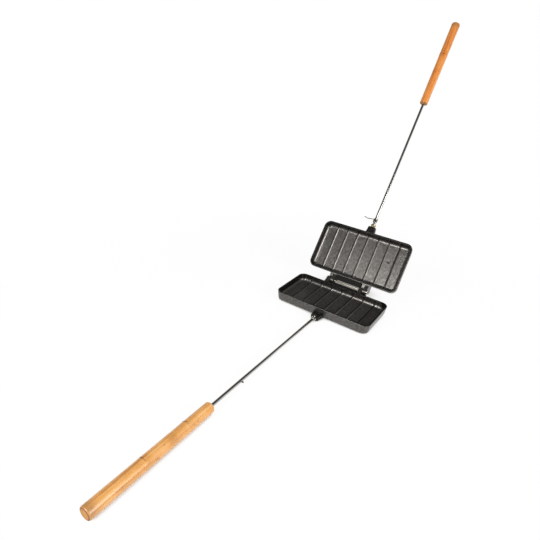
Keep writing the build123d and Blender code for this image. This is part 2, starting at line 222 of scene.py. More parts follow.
@dataclass(frozen=True)
class Frames:
    """Where each half and each rod stands, worked out from the hinge joint."""

    hinge: Vector
    open_angle: float
    sizes: Sizes

    @classmethod
    def from_joints(cls, joints: list[dict[str, Any]], sizes: Sizes) -> Frames:
        """Read the hinge's place and its travel.

        Args:
            joints: the frame's joints.
            sizes: the iron's sizes.

        Returns:
            The frames.
        """
        hinge = next(joint for joint in joints if joint["name"] == "hinge")
        return cls(Vector(hinge["pos_m"]), math.radians(hinge["range_deg"][1]), sizes)

    def half(self, half: Half) -> Matrix:
        """Frame of a half: origin on the hinge, -Y towards the handle, Z from back to rim.

        Args:
            half: the lower or the upper half.

        Returns:
            The frame as a matrix, in metres.
        """
        place = Matrix.Translation(self.hinge)
        if half is Half.UPPER:
            turned_over = Matrix.Rotation(math.pi, 4, "Y")
            place = place @ Matrix.Rotation(-self.open_angle, 4, "X") @ turned_over
        return place

    def rod(self, half: Half) -> Matrix:
        """Frame of a rod: origin at the end of its socket boss, Z along the rod.

        Args:
            half: the half that carries the rod.

        Returns:
            The frame as a matrix, in metres.
        """
        sizes = self.sizes
        reach = sizes.hinge_to_rim + sizes.plate_width + sizes.boss_length
        start = Matrix.Translation(Vector((0, -reach, sizes.rod_height - sizes.plate_depth)) * MM)
        along = Matrix.Rotation(math.radians(90 - sizes.rod_rise_degrees), 4, "X")
        return self.half(half) @ start @ along


def new_material(name: str) -> tuple[Material, Tree]:
    """Make an empty node material.

    Args:
        name: the real material's name.

    Returns:
        The material and its node tree.
    """
    material = bpy.data.materials.new(name)
    material.use_nodes = True
    material.node_tree.nodes.clear()
    return material, material.node_tree


@dataclass(frozen=True)
class Surface:
    """A material in the making, and the coordinates that it reads in its piece's own frame."""

    material: Material
    tree: Tree
    local: Socket
    parts: bpy.types.NodeOutputs

    @classmethod
    def start(cls, name: str, place: Matrix) -> Surface:
        """Make an empty material that reads Object coordinates.

        Args:
            name: the real material's name.
            place: the frame of the piece.

        Returns:
            The surface.
        """
        material, tree = new_material(name)
        mapping = {
            "Vector": add_node(tree, "TexCoord").outputs["Object"],
            "Location": place.to_translation(),
            "Rotation": place.to_euler(),
        }
        local = add_node(tree, "Mapping", mapping, vector_type="TEXTURE").outputs["Vector"]
        return cls(material, tree, local, add_node(tree, "SeparateXYZ", {"Vector": local}).outputs)

    def stretch(self, width: float, length: float) -> Socket:
        """Coordinates for a pattern that is drawn out along Z.

        Args:
            width: the pattern's size across.
            length: its size along Z.

        Returns:
            The coordinates, one unit to each repeat.
        """
        scale = (1 / (width * MM), 1 / (width * MM), 1 / (length * MM))
        node = add_node(self.tree, "VectorMath", {0: self.local, 1: scale}, operation="MULTIPLY")
        return node.outputs["Vector"]

    def finish(self, inputs: dict[str, Any]) -> Material:
        """Close the material with a Principled shader.

        Args:
            inputs: the shader's sockets and what feeds them.

        Returns:
            The material.
        """
        shader = add_node(self.tree, "BsdfPrincipled", inputs)
        add_node(self.tree, "OutputMaterial", {"Surface": shader.outputs["BSDF"]})
        return self.material


# -------- finishes


@dataclass(frozen=True)
class SeasonedCastIron:
    """Grey iron, sand cast and seasoned with baked-on oil: a near-black, half-glossy skin over a
    sand grain.

    A pair of lengths says where a zone starts to fade in and where it is full, or the other way.
    """

    sizes: Sizes
    dimple: Pair | None = None
    low: str = "#504e4b"
    high: str = "#797672"
    # painted highlight: the lighter tone at the foot of each rib
    highlight_tone: str = "#a29e97"
    # painted shade: the dark tone of the upper inner walls, the lip, the outside and the rib lines
    shade_tone: str = "#2a2826"
    # painted deep shade on the bridge and the wall between the lugs
    deep_shade_tone: str = "#13100d"
    rubbed: str = "#4a4744"
    tone_spread: Pair = (0.38, 0.62)
    sand_grain: float = 1.2  # real sand leaves about 0.4 mm, drawn coarser so that it shows
    grain_depth: float = 0.12
    pebble: float = 4.5  # unevenness of the mould's face
    pebble_depth: float = 0.35
    pebble_share: float = 0.5
    opening_edge: Pair = (-1.0, 0.0)  # past the opening, where the lip starts
    wall_shade: Pair = (-12.0, -8.0)  # heights at which the walls turn dark with painted shade
    inside_edge: Pair = (0.5, 1.5)  # past the opening, where the inside ends
    under_floor: Pair = (2.0, 1.0)  # under the floor, where the inside ends
    rib_shade: Pair = (1.0, 1.9)  # from the middle of each rib, where the line of painted shade starts to fade and where it ends
    rib_shade_share: float = 0.9
    fray_spread: Pair = (0.3, 0.5)
    frayed_share: float = 0.6
    rib_foot: float = 2.5  # from the middle of each rib, where a lighter band is painted as a highlight
    rib_foot_width: float = 1.1
    foot_highlight_share: float = 0.4
    rim_edge: float = 1.3  # outer part of the lip, which has less painted shade, as the outer wall has
    shade_off_share: float = 0.75
    hinge_wall: Pair = (0.7, 0.3)  # within the outer wall, where the hinge side starts
    between_lugs: float = 33.0  # half the length of the bridge, where deep shade is painted
    lip_band: Pair = (-0.9, -0.25)  # the lip is rubbed where the halves meet
    rubbed_share: float = 0.15
    skin_roughness: float = 0.28
    shaded_roughness: float = 0.27
    deep_shade_roughness: float = 0.85
    metal_share: float = 0.82
    specular: float = 0.35
    dimple_radius: float = 4.2
    dimple_depth: float = 1.3

    def make(self, name: str, place: Matrix) -> Material:
        """Build the iron for one tray.

        Args:
            name: the material's name.
            place: the half's frame.

        Returns:
            The material.
        """
        surface = Surface.start(name, place)
        tree, height = surface.tree, surface.parts["Z"]
        noise = {"Vector": surface.local, "Scale": 1 / (self.sand_grain * MM)}
        noise |= {"Detail": 3.0, "Roughness": 0.6}
        grain = add_node(tree, "TexNoise", noise).outputs["Fac"]
        noise = {"Vector": surface.local, "Scale": 1 / (self.pebble * MM), "Detail": 2.0}
        pebbles = add_node(tree, "TexNoise", noise).outputs["Fac"]
        both = {MIX_FACTOR: self.pebble_share, MIX_FIRST: pebbles, MIX_SECOND: grain}
        speckle = add_node(tree, "Mix", both, data_type="RGBA").outputs[MIX_RESULT]
        tones = tuple(zip(self.tone_spread, (self.low, self.high)))
        colour = add_node(tree, "ValToRGB", {"Fac": speckle}, stops=tones).outputs["Color"]
        beyond = self.measure_beyond(surface)
        inside = self.find_inside(surface, beyond)
        across = {0: surface.parts["X"], 1: self.sizes.rib_pitch / 2 * MM}
        from_rib = add_node(tree, "Math", across, operation="PINGPONG").outputs[0]
        # painted shade along each rib, on top of the painted shade of the walls
        oiled = self.add_ribs(tree, from_rib, inside, self.find_walls(surface, beyond), grain)
        # less painted shade on the outer walls
        shade_off = {0: oiled, 1: self.find_outer_walls(surface, beyond)}
        shade_left = add_node(tree, "Math", shade_off, operation="SUBTRACT", use_clamp=True).outputs[0]
        shaded, deep_shade = self.add_hinge_side(surface, shade_left)
        edge = {"Value": height, **between(self.lip_band, MM), "To Max": self.rubbed_share}
        lip = add_node(tree, "MapRange", edge).outputs["Result"]
        for share, tint in (
            # painted highlight at the foot of each rib
            (self.find_rib_foot_highlight(tree, from_rib, inside), self.highlight_tone),
            # painted shade on the walls, the lip and the ribs
            (shaded, self.shade_tone),
            # painted deep shade between the lugs
            (deep_shade, self.deep_shade_tone),
            (lip, self.rubbed),
        ):
            layer = {MIX_FACTOR: share, MIX_FIRST: colour, MIX_SECOND: linear(tint)}
            colour = add_node(tree, "Mix", layer, data_type="RGBA").outputs[MIX_RESULT]
        shade_gloss = {"Value": shaded, "To Min": self.skin_roughness, "To Max": self.shaded_roughness}
        smooth = add_node(tree, "MapRange", shade_gloss).outputs["Result"]
        deep_gloss = {"Value": deep_shade, "To Min": smooth, "To Max": self.deep_shade_roughness}
        roughness = add_node(tree, "MapRange", deep_gloss).outputs["Result"]
        bare = {"Value": deep_shade, "To Min": self.metal_share, "To Max": 0.0}
        metal = add_node(tree, "MapRange", bare).outputs["Result"]
        forms = [(pebbles, self.pebble_depth), (grain, self.grain_depth)]
        if self.dimple is not None:
            forms.append((self.find_dimple(surface, self.dimple), self.dimple_depth))
        under = {}
        for form, depth in forms:
            relief = {"Height": form, "Strength": 1.0, "Distance": depth * MM, **under}
            under = {"Normal": add_node(tree, "Bump", relief).outputs["Normal"]}
        return surface.finish(
            {
                "Base Color": colour,
                "Metallic": metal,
                "Roughness": roughness,
                "Specular IOR Level": self.specular,
                **under,
            }
        )

    def measure_beyond(self, surface: Surface) -> Socket:
        """Measure how far each place lies outside the tray's opening, round its corners too.

        Args:
            surface: the tray's surface.

        Returns:
            The distance, below 0 inside the opening.
        """
        tree, sizes = surface.tree, self.sizes
        middle = Vector((0, -sizes.hinge_to_rim - sizes.plate_width / 2, 0)) * MM
        inset = sizes.lip_width + sizes.opening_corner
        # the depth has no part in the distance, so the third size is larger than any depth
        corner = Vector(
            (sizes.plate_length / 2 - inset, sizes.plate_width / 2 - inset, sizes.plate_length)
        )
        place = surface.local
        for operation, other in (
            ("SUBTRACT", middle),
            ("ABSOLUTE", None),
            ("SUBTRACT", corner * MM),
            ("MAXIMUM", Vector((0, 0, 0))),
        ):
            inputs = {0: place} if other is None else {0: place, 1: other}
            place = add_node(tree, "VectorMath", inputs, operation=operation).outputs["Vector"]
        radius = add_node(tree, "VectorMath", {0: place}, operation="LENGTH").outputs["Value"]
        past = {0: radius, 1: sizes.opening_corner * MM}
        return add_node(tree, "Math", past, operation="SUBTRACT").outputs[0]

    def find_walls(self, surface: Surface, beyond: Socket) -> Socket:
        """Find where shade is painted: up the inner walls, on the lip and outside.

        Args:
            surface: the tray's surface.
            beyond: the distance outside the opening.

        Returns:
            The share of painted shade, 0 on the floor and 1 up the walls.
        """
        zones = ((beyond, self.opening_edge), (surface.parts["Z"], self.wall_shade))
        shares = {}
        for number, (value, ends) in enumerate(zones):
            zone = {"Value": value, **between(ends, MM)}
            shares[number] = add_node(surface.tree, "MapRange", zone).outputs["Result"]
        return add_node(surface.tree, "Math", shares, operation="MAXIMUM").outputs[0]

    def find_outer_walls(self, surface: Surface, beyond: Socket) -> Socket:
        """Find the outer walls, where less shade is painted.

        Args:
            surface: the tray's surface.
            beyond: the distance outside the opening.

        Returns:
            The share of painted shade that is taken off there.
        """
        tree, draft = surface.tree, -math.tan(math.radians(self.sizes.outer_draft))
        upright = {0: surface.parts["Z"], 1: draft, 2: beyond}
        drafted = add_node(tree, "Math", upright, operation="MULTIPLY_ADD").outputs[0]
        wall = {0: drafted, 1: self.sizes.lip_width * MM, 2: self.rim_edge * MM}
        on_wall = add_node(tree, "Math", wall, operation="COMPARE").outputs[0]
        shade_off = {"Value": on_wall, "To Max": self.shade_off_share}
        return add_node(tree, "MapRange", shade_off).outputs["Result"]

    def add_hinge_side(self, surface: Surface, shade_left: Socket) -> tuple[Socket, Socket]:
        """Add painted deep shade, dark and dull, on the bridge and on the wall between the lugs.

        Args:
            surface: the tray's surface.
            shade_left: the share of painted shade elsewhere.

        Returns:
            The share of painted shade and the share of painted deep shade.
        """
        tree, draft = surface.tree, math.radians(self.sizes.outer_draft)
        outwards = {0: surface.local, 1: Vector((0, math.cos(draft), -math.sin(draft)))}
        reach = add_node(tree, "VectorMath", outwards, operation="DOT_PRODUCT").outputs["Value"]
        wall = -self.sizes.hinge_to_rim * math.cos(draft)
        ends = (wall - self.hinge_wall[0], wall - self.hinge_wall[1])
        zone = {"Value": reach, **between(ends, MM)}
        hinge_side = add_node(tree, "MapRange", zone).outputs["Result"]
        bridge = {0: surface.parts["X"], 1: 0.0, 2: self.between_lugs * MM}
        on_bridge = add_node(tree, "Math", bridge, operation="COMPARE").outputs[0]
        both = {0: hinge_side, 1: on_bridge}
        deep_shade = add_node(tree, "Math", both, operation="MULTIPLY").outputs[0]
        lugs = add_node(tree, "Math", {0: hinge_side, 1: deep_shade}, operation="SUBTRACT").outputs[0]
        # the lugs keep the outer walls' lighter share of painted shade
        oil = {"Value": lugs, "To Min": shade_left, "To Max": 1 - self.shade_off_share}
        oiled = add_node(tree, "MapRange", oil).outputs["Result"]
        shaded = add_node(tree, "Math", {0: oiled, 1: deep_shade}, operation="MAXIMUM").outputs[0]
        return shaded, deep_shade

    def find_inside(self, surface: Surface, beyond: Socket) -> Socket:
        """Find the inside of the tray, without its outer walls and its back.

        Args:
            surface: the tray's surface.
            beyond: the distance outside the opening.

        Returns:
            The share, 1 inside.
        """
        above_back = {"Value": surface.parts["Z"]}
        within = {"Value": beyond, "To Max": 0.0}
        for end, under, edge in zip(("From Min", "From Max"), self.under_floor, self.inside_edge):
            above_back[end] = -(self.sizes.tray_floor + under) * MM
            within[end] = edge * MM
        within["To Min"] = add_node(surface.tree, "MapRange", above_back).outputs["Result"]
        return add_node(surface.tree, "MapRange", within).outputs["Result"]

    def find_rib_foot_highlight(self, tree: Tree, from_rib: Socket, inside: Socket) -> Socket:
        """Find the foot of each rib, where a lighter band is painted as a highlight.

        Args:
            tree: the material's tree.
            from_rib: the distance from the nearest rib.
            inside: the share that lies inside the tray.

        Returns:
            The share of the painted highlight.
        """
        band = {0: from_rib, 1: self.rib_foot * MM, 2: self.rib_foot_width / 2 * MM}
        at_foot = add_node(tree, "Math", band, operation="COMPARE").outputs[0]
        bare = add_node(tree, "Math", {0: at_foot, 1: inside}, operation="MULTIPLY").outputs[0]
        foot_highlight = {"Value": bare, "To Max": self.foot_highlight_share}
        return add_node(tree, "MapRange", foot_highlight).outputs["Result"]

    def add_ribs(
        self, tree: Tree, from_rib: Socket, inside: Socket, shaded: Socket, grain: Socket
    ) -> Socket:
        """Add a line of painted shade along the crest of each rib.

        Args:
            tree: the material's tree.
            from_rib: the distance from the nearest rib.
            inside: the share that lies inside the tray.
            shaded: the share of painted shade on the walls.
            grain: the sand grain, which frays the edge.

        Returns:
            The share of painted shade, the ribs with it.
        """
        line = {"Value": from_rib, **between(self.rib_shade, MM), "To Min": self.rib_shade_share}
        share = add_node(tree, "MapRange", {**line, "To Max": 0.0}).outputs["Result"]
        edge = {"Value": grain, **between(self.fray_spread), "To Min": self.frayed_share}
        frayed = add_node(tree, "MapRange", edge).outputs["Result"]
        for operation, other in (("MULTIPLY", frayed), ("MULTIPLY", inside), ("MAXIMUM", shaded)):
            share = add_node(tree, "Math", {0: share, 1: other}, operation=operation).outputs[0]
        return share

    def find_dimple(self, surface: Surface, middle: Pair) -> Socket:
        """Find a small round casting flaw in the floor.

        Args:
            surface: the tray's surface.
            middle: where the flaw is in the tray.

        Returns:
            The height of the floor, 0 at the flaw's middle and 1 around it.
        """
        centre = {0: surface.local, 1: Vector((*middle, -self.sizes.tray_floor)) * MM}
        away = add_node(surface.tree, "VectorMath", centre, operation="DISTANCE")
        bowl = {"Value": away.outputs["Value"], "From Max": self.dimple_radius * MM}
        height = add_node(surface.tree, "MapRange", bowl, interpolation_type="SMOOTHSTEP")
        return height.outputs["Result"]


@dataclass(frozen=True)
class DrawnSteel:
    """Bright drawn bar: polished by the die, with fine lines along it, browned near the fire."""

    bare: str = "#b3b1ad"
    bright: str = "#d4d2cd"
    browned: str = "#5c463a"
    tone_spread: Pair = (0.35, 0.65)
    line_width: float = 0.8
    line_length: float = 40.0
    line_strength: float = 0.1
    line_depth: float = 0.01
    browned_reach: float = 60.0
    browned_share: float = 0.5
    roughness: float = 0.16

    def make(self, name: str, place: Matrix) -> Material:
        """Build the steel for one rod.

        Args:
            name: the material's name.
            place: the rod's frame.

        Returns:
            The material.
        """
        surface = Surface.start(name, place)
        tree = surface.tree
        noise = {"Vector": surface.stretch(self.line_width, self.line_length)}
        lines = add_node(tree, "TexNoise", {**noise, "Scale": 1.0, "Detail": 3.0}).outputs["Fac"]
        tones = tuple(zip(self.tone_spread, (self.bare, self.bright)))
        steel = add_node(tree, "ValToRGB", {"Fac": lines}, stops=tones).outputs["Color"]
        zone = {"Value": surface.parts["Z"], "From Max": self.browned_reach * MM}
        zone |= {"To Min": self.browned_share, "To Max": 0.0}
        heat = add_node(tree, "MapRange", zone, interpolation_type="SMOOTHSTEP")
        layer = {MIX_FACTOR: heat.outputs["Result"], MIX_FIRST: steel}
        layer[MIX_SECOND] = linear(self.browned)
        relief = {"Height": lines, "Strength": self.line_strength, "Distance": self.line_depth * MM}
        return surface.finish(
            {
                "Base Color": add_node(tree, "Mix", layer, data_type="RGBA").outputs[MIX_RESULT],
                "Metallic": 1.0,
                "Roughness": self.roughness,
                "Normal": add_node(tree, "Bump", relief).outputs["Normal"],
            }
        )


class Coat(Enum):
    """Finishes of the small steel pieces: the two colours that each one varies between."""

    ZINC = ("#b9b6ae", "#dad7cf")
    YELLOW_ZINC = ("#8f8468", "#c9bd98")
    OILED = ("#8d8470", "#c9c3b3")
    BLACK_OXIDE = ("#161514", "#2a2826")
    BROWN_OXIDE = ("#4a2f22", "#7a5643")
    BRIGHT_WIRE = ("#6e6861", "#a59f97")


@dataclass(frozen=True)
class CoatedSteel:
    """Small steel fastener, turned or stamped and coated: bright, with faint blotches in it."""

    coat: Coat
    blotch: float = 2.5
    tone_spread: Pair = (0.35, 0.65)
    blotch_spread: Pair = (0.3, 0.7)
    roughness: float = 0.26
    roughness_swing: Pair = (-0.06, 0.08)
    scratch_strength: float = 0.2
    scratch_depth: float = 0.02

    def make(self, name: str, place: Matrix) -> Material:
        """Build the coated steel.

        Args:
            name: the material's name.
            place: the frame of the piece.

        Returns:
            The material.
        """
        surface = Surface.start(name, place)
        tree = surface.tree
        noise = {"Vector": surface.local, "Scale": 1 / (self.blotch * MM), "Detail": 4.0}
        blotches = add_node(tree, "TexNoise", noise).outputs["Fac"]
        tones = tuple(zip(self.tone_spread, self.coat.value))
        colour = add_node(tree, "ValToRGB", {"Fac": blotches}, stops=tones)
        gloss = {"Value": blotches, **between(self.blotch_spread)}
        for end, swing in zip(("To Min", "To Max"), self.roughness_swing):
            gloss[end] = self.roughness + swing
        roughness = add_node(tree, "MapRange", gloss)
        relief = {"Strength": self.scratch_strength, "Distance": self.scratch_depth * MM}
        return surface.finish(
            {
                "Base Color": colour.outputs["Color"],
                "Metallic": 1.0,
                "Roughness": roughness.outputs["Result"],
                "Normal": add_node(tree, "Bump", {"Height": blotches, **relief}).outputs["Normal"],
            }
        )


@dataclass(frozen=True)
class LacqueredCane:
    """Peeled cane under clear lacquer: straight fine fibres, a scar at each node, pored ends."""

    sizes: Sizes
    pale: str = "#dbab70"
    honey: str = "#cb914e"
    fibre: str = "#a66f38"
    scar: str = "#6e3d1c"
    worn: str = "#94683e"
    pith: str = "#ab7c42"
    pore: str = "#6b4620"
    tone_places: Triple = (0.33, 0.66, 0.48)  # of fibre, pale and honey in the ramp
    fibre_width: float = 3.2
    fibre_length: float = 110.0
    fibre_strength: float = 0.15
    fibre_depth: float = 0.05
    stain_size: float = 26.0
    stain_share: float = 0.38
    first_scar: int = 0
    scar_side: Pair = (-0.8, 0.6)
    scar_shares: Pair = (0.05, 0.85)  # on the far side of the cane, and on the scar's own side
    scar_width: float = 1.8
    second_scar: float | None = None
    second_width_share: float = 0.6
    waver_size: float = 6.0
    waver: float = 1.6
    bud_spread: Pair = (0.66, 0.74)
    bud_share: float = 0.45
    worn_length: float = 22.0
    worn_share: float = 0.7
    pore_size: float = 1.1
    pore_spread: Pair = (0.1, 0.5)
    rind_edge: float = 0.5
    rind_depths: Pair = (3.2, 2.0)  # under the butt's radius, where the dark rind starts
    rind_share: float = 0.9
    roughness: float = 0.33
    cut_roughness: float = 0.9
    index: float = 1.5
    lacquer: float = 0.25
    lacquer_roughness: float = 0.3

    def make(self, name: str, place: Matrix) -> Material:
        """Build the cane for one handle.

        Args:
            name: the material's name.
            place: the rod's frame.

        Returns:
            The material.
        """
        surface = Surface.start(name, place)
        tree = surface.tree
        noise = {"Vector": surface.stretch(self.fibre_width, self.fibre_length), "Scale": 1.0}
        noise |= {"Detail": 3.0, "Roughness": 0.6}
        fibres = add_node(tree, "TexNoise", noise).outputs["Fac"]
        noise = {"Vector": surface.local, "Scale": 1 / (self.stain_size * MM), "Detail": 3.0}
        stains = add_node(tree, "TexNoise", noise).outputs["Fac"]
        both = {MIX_FACTOR: self.stain_share, MIX_FIRST: fibres, MIX_SECOND: stains}
        blend = add_node(tree, "Mix", both, data_type="RGBA").outputs[MIX_RESULT]
        tones = tuple(zip(self.tone_places, (self.fibre, self.pale, self.honey)))
        wood = add_node(tree, "ValToRGB", {"Fac": blend}, stops=tones).outputs["Color"]
        on_side = self.find_side(surface)
        whole = {MIX_FACTOR: on_side, MIX_FIRST: self.make_cut_end(surface)}
        whole[MIX_SECOND] = self.wear_butt(surface, self.add_scars(surface, wood))
        # lacquer soaks into the cut ends, and leaves them dull
        gloss = {"Value": on_side, "To Min": self.cut_roughness, "To Max": self.roughness}
        lacquer = add_node(tree, "Math", {0: on_side, 1: self.lacquer}, operation="MULTIPLY")
        relief = {"Strength": self.fibre_strength, "Distance": self.fibre_depth * MM}
        return surface.finish(
            {
                "Base Color": add_node(tree, "Mix", whole, data_type="RGBA").outputs[MIX_RESULT],
                "Metallic": 0.0,
                "Roughness": add_node(tree, "MapRange", gloss).outputs["Result"],
                "IOR": self.index,
                "Coat Weight": lacquer.outputs[0],
                "Coat Roughness": self.lacquer_roughness,
                "Normal": add_node(tree, "Bump", {"Height": fibres, **relief}).outputs["Normal"],
            }
        )

    def add_scars(self, surface: Surface, colour: Socket) -> Socket:
        """Draw the uneven line round each node, darkest on one side, and the bud marks near it.

        Args:
            surface: the handle's surface.
            colour: the cane's colour.

        Returns:
            The colour with the scars.
        """
        tree, sizes = surface.tree, self.sizes
        noise = {"Vector": surface.local, "Scale": 1 / (self.waver_size * MM), "Detail": 2.0}
        waver = add_node(tree, "TexNoise", noise).outputs["Fac"]
        shift = {"Value": waver, "To Min": -self.waver * MM, "To Max": self.waver * MM}
        along = {0: surface.parts["Z"], 1: add_node(tree, "MapRange", shift).outputs["Result"]}
        wavering = add_node(tree, "Math", along, operation="ADD").outputs[0]
        towards = {0: surface.local, 1: Vector((*self.scar_side, 0))}
        facing = add_node(tree, "VectorMath", towards, operation="DOT_PRODUCT").outputs["Value"]
        zone = {"Value": facing, "From Max": sizes.handle_front_radius * MM}
        zone |= {"To Min": self.scar_shares[0], "To Max": self.scar_shares[1]}
        one_side = add_node(tree, "MapRange", zone).outputs["Result"]
        # a dark line where the sheath left the cane, and a finer one where the next joint started
        lines = [(place, self.scar_width) for place in sizes.node_places[self.first_scar:]]
        if self.second_scar is not None:
            lines += [
                (place + self.second_scar, width * self.second_width_share)
                for place, width in lines
            ]
        marks = []
        for line_place, width in lines:
            line = {0: wavering, 1: (sizes.rod_reach + line_place) * MM, 2: width / 2 * MM}
            at_node = add_node(tree, "Math", line, operation="COMPARE").outputs[0]
            share = {0: at_node, 1: one_side}
            marks.append(add_node(tree, "Math", share, operation="MULTIPLY").outputs[0])
        zone = {"Value": waver, **between(self.bud_spread), "To Max": self.bud_share}
        marks.append(add_node(tree, "MapRange", zone).outputs["Result"])
        for share in marks:
            layer = {MIX_FACTOR: share, MIX_FIRST: colour, MIX_SECOND: linear(self.scar)}
            colour = add_node(tree, "Mix", layer, data_type="RGBA").outputs[MIX_RESULT]
        return colour

    def find_side(self, surface: Surface) -> Socket:
        """Find the side of the cane, between its two end faces.

        Args:
            surface: the handle's surface.

        Returns:
            The share, 1 on the side and 0 on the ends.
        """
        half_length = self.sizes.handle_length / 2
        middle = (self.sizes.rod_reach + half_length) * MM
        side = {0: surface.parts["Z"], 1: middle, 2: (half_length - self.rind_edge) * MM}
        return add_node(surface.tree, "Math", side, operation="COMPARE").outputs[0]

    def wear_butt(self, surface: Surface, colour: Socket) -> Socket:
        """Darken the butt, where the hand holds it.

        Args:
            surface: the handle's surface.
            colour: the cane's colour.

        Returns:
            The colour with the hand-worn butt.
        """
        butt = self.sizes.rod_reach + self.sizes.handle_length
        zone = {"Value": surface.parts["Z"], **between((butt - self.worn_length, butt), MM)}
        zone["To Max"] = self.worn_share
        worn = add_node(surface.tree, "MapRange", zone, interpolation_type="SMOOTHSTEP")
        layer = {MIX_FACTOR: worn.outputs["Result"], MIX_FIRST: colour}
        layer[MIX_SECOND] = linear(self.worn)
        return add_node(surface.tree, "Mix", layer, data_type="RGBA").outputs[MIX_RESULT]

    def make_cut_end(self, surface: Surface) -> Socket:
        """Show the cut fibres of an end face, inside a dark rind.

        Args:
            surface: the handle's surface.

        Returns:
            The colour of the pored end.
        """
        tree, butt_radius = surface.tree, self.sizes.handle_butt_radius
        cells = {"Vector": surface.local, "Scale": 1 / (self.pore_size * MM)}
        pores = add_node(tree, "TexVoronoi", cells).outputs["Distance"]
        tones = tuple(zip(self.pore_spread, (self.pore, self.pith)))
        pith = add_node(tree, "ValToRGB", {"Fac": pores}, stops=tones).outputs["Color"]
        flat = {0: surface.local, 1: Vector((1, 1, 0))}
        across = add_node(tree, "VectorMath", flat, operation="MULTIPLY").outputs["Vector"]
        radius = add_node(tree, "VectorMath", {0: across}, operation="LENGTH").outputs["Value"]
        ends = (butt_radius - self.rind_depths[0], butt_radius - self.rind_depths[1])
        zone = {"Value": radius, **between(ends, MM), "To Max": self.rind_share}
        rind = add_node(tree, "MapRange", zone).outputs["Result"]
        layer = {MIX_FACTOR: rind, MIX_FIRST: pith, MIX_SECOND: linear(self.scar)}
        return add_node(tree, "Mix", layer, data_type="RGBA").outputs[MIX_RESULT]


# -------- sub-assemblies


@dataclass
class Tray:
    """One cast-iron tray."""

    half: Half
    frames: Frames
    iron: SeasonedCastIron

    def build(self, nodes: dict[str, Piece]) -> None:
        """Dress the casting.

        Args:
            nodes: the frame's nodes by name.
        """
        side = self.half.value
        iron = self.iron.make(f"seasoned cast iron, {side}", self.frames.half(self.half))
        dress(nodes[f"{side}_plate"], iron)


@dataclass
class Rod:
    """One rod with its lock nut and set screw, and the bare thread in front of the nut."""

    half: Half
    frames: Frames
    steel: DrawnSteel
    nut_coat: Coat
    screw_roughness: float = 0.42
    thread_pitch: float = 1.0
    thread_depth: float = 0.32
    tooth_share: float = 1.6  # radius of the three-sided tooth, in depths of the thread
    thread_turns: int = 5
    steps_per_turn: int = 28
    merge_distance: float = 0.001

    def build(self, nodes: dict[str, Piece]) -> None:
        """Dress the rod's pieces and cut its thread.

        Args:
            nodes: the frame's nodes by name.
        """
        place = self.frames.rod(self.half)
        side = self.half.value
        steel = self.steel.make(f"drawn steel, {side} rod", place)
        nut = CoatedSteel(self.nut_coat)
        screw = CoatedSteel(Coat.BLACK_OXIDE, roughness=self.screw_roughness)
        dress(nodes[f"{side}_rod"], steel)
        dress(nodes[f"{side}_lock_nut"], nut.make(f"plated nut, {side}", place))
        dress(nodes[f"{side}_set_screw"], screw.make(f"black oxide screw, {side}", place))
        dress(self.make_thread(place), steel)

    def make_thread(self, place: Matrix) -> Piece:
        """Wind one tooth round the rod for the thread that shows in front of the nut.

        Args:
            place: the rod's frame.

        Returns:
            The thread.
        """
        sizes = self.frames.sizes
        washer = sizes.washer_thickness * (self.half is Half.UPPER)
        start = sizes.nut_height + washer + self.thread_pitch
        deselect_all()
        bpy.ops.mesh.primitive_circle_add(
            vertices=3,
            radius=self.thread_depth * self.tooth_share * MM,
            location=(sizes.rod_radius * MM, 0, start * MM),
            rotation=(math.radians(90), 0, 0),
        )
        tooth = bpy.context.object
        bpy.ops.object.transform_apply(location=True, rotation=True, scale=True)
        winding = tooth.modifiers.new("winding", "SCREW")
        winding.axis = "Z"
        winding.angle = 2 * math.pi * self.thread_turns
        winding.screw_offset = self.thread_pitch * self.thread_turns * MM
        winding.steps = self.steps_per_turn * self.thread_turns
        winding.render_steps = winding.steps
        bpy.ops.object.modifier_apply(modifier=winding.name)
        bpy.ops.object.mode_set(mode="EDIT")
        bpy.ops.mesh.select_all(action="SELECT")
        bpy.ops.mesh.remove_doubles(threshold=self.merge_distance * MM)
        bpy.ops.mesh.select_all(action="DESELECT")
        bpy.ops.mesh.select_non_manifold()
        bpy.ops.mesh.edge_face_add()
        bpy.ops.mesh.select_all(action="SELECT")
        bpy.ops.mesh.normals_make_consistent(inside=False)
        bpy.ops.object.mode_set(mode="OBJECT")
        name = f"{self.half.value}_rod_thread"
        return settle(tooth, name, place, self.half.body)


